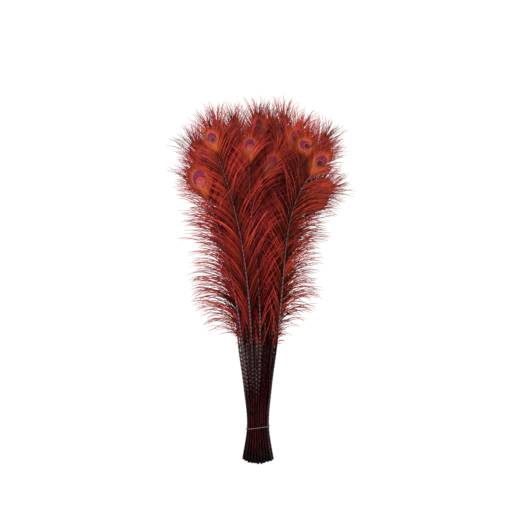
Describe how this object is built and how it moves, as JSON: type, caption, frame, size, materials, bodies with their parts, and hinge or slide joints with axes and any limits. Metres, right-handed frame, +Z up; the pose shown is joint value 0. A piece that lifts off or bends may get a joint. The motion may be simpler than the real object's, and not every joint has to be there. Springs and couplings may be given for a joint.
{
  "type": "bunch of peacock feathers",
  "caption": "Bunch of red dyed peacock tail feathers, stripped quills tied with string near the cut ends, eyed plumes fanned out, lying flat for decoration.",
  "frame": {"origin": "on the surface the bunch lies on, under the middle of its overall box", "axes": "+Y from the cut quill ends to the plume tips, +X across the bunch to its right as seen from above, +Z up"},
  "size_m": [0.3702, 0.7478, 0.1324],
  "materials": {
    "dyed_feather": "red dyed feather: matt loose barbs, satin dark shaft",
    "cotton_string": "undyed twisted cotton, matt"
  },
  "bodies": {
    "root": {"feather_01": "dyed_feather", "feather_02": "dyed_feather", "feather_03": "dyed_feather", "feather_04": "dyed_feather", "feather_05": "dyed_feather", "feather_06": "dyed_feather", "feather_07": "dyed_feather", "feather_08": "dyed_feather", "feather_09": "dyed_feather", "feather_10": "dyed_feather", "feather_11": "dyed_feather", "feather_12": "dyed_feather", "feather_13": "dyed_feather", "feather_14": "dyed_feather", "feather_15": "dyed_feather", "feather_16": "dyed_feather", "feather_17": "dyed_feather", "feather_18": "dyed_feather", "feather_19": "dyed_feather", "feather_20": "dyed_feather", "feather_21": "dyed_feather", "feather_22": "dyed_feather", "feather_23": "dyed_feather", "feather_24": "dyed_feather", "feather_25": "dyed_feather", "feather_26": "dyed_feather", "feather_27": "dyed_feather", "feather_28": "dyed_feather", "feather_29": "dyed_feather", "feather_30": "dyed_feather", "feather_31": "dyed_feather", "feather_32": "dyed_feather", "feather_33": "dyed_feather", "feather_34": "dyed_feather", "feather_35": "dyed_feather", "feather_36": "dyed_feather", "feather_37": "dyed_feather", "feather_38": "dyed_feather", "feather_39": "dyed_feather", "tie_string": "cotton_string"}
  },
  "joints": []
}
